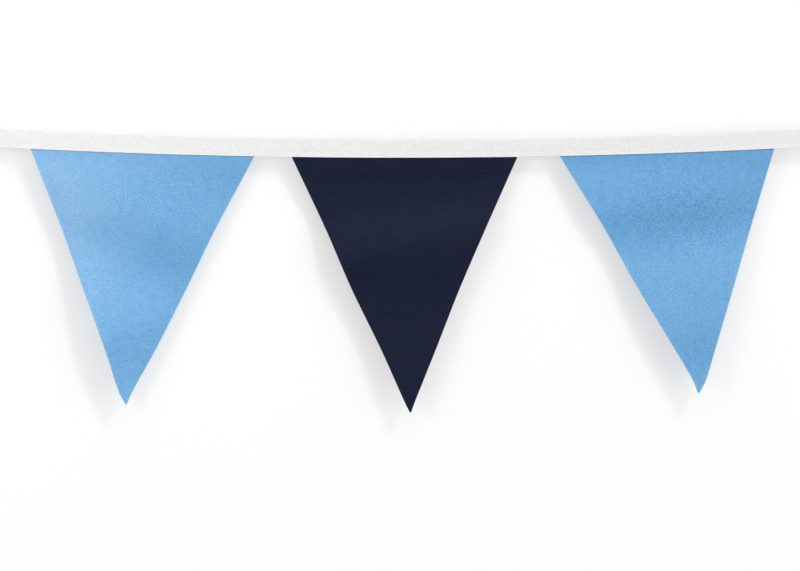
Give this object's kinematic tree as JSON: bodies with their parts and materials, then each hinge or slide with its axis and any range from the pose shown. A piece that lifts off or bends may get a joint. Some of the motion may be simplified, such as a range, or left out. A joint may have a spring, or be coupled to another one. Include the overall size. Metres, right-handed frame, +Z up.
{
  "type": "fabric bunting",
  "caption": "Fabric bunting: plain triangular cloth pennants in light blue and navy, sewn into a folded white header tape that hangs in a shallow sag.",
  "frame": {"origin": "middle of the header tape's folded top edge, which is the lowest point of that edge's sag", "axes": "+X along the tape to the right as the bunting is looked at, +Z up, -Y towards the viewer"},
  "size_m": [0.74, 0.014, 0.252],
  "materials": {
    "white_tape": "matte woven cotton tape",
    "light_blue_cloth": "fine plain weave with a low sheen",
    "navy_cloth": "smooth satin weave"
  },
  "bodies": {
    "root": {"header_tape": "white_tape", "pennant_left": "light_blue_cloth", "pennant_middle": "navy_cloth", "pennant_right": "light_blue_cloth"}
  },
  "joints": []
}
